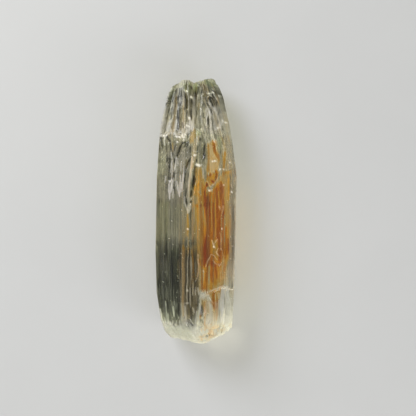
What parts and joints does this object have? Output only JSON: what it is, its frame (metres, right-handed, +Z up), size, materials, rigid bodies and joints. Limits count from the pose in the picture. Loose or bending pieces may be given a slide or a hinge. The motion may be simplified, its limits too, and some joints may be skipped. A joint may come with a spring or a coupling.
{
  "type": "aquamarine crystal",
  "caption": "Loose etched aquamarine crystal, a long clear hexagonal prism with striae, ledges and iron stain, lying on one face.",
  "frame": {"origin": "on the surface that the crystal lies on, under the middle of its box", "axes": "+Y along the crystal to its grown tip, +X across it, +Z up from the face that it lies on"},
  "size_m": [0.0182, 0.06, 0.0146],
  "materials": {
    "aquamarine": "clear pale green beryl with an etched, striated skin, orange iron stain and a frosted foot"
  },
  "bodies": {
    "root": {"crystal": "aquamarine"}
  },
  "joints": []
}
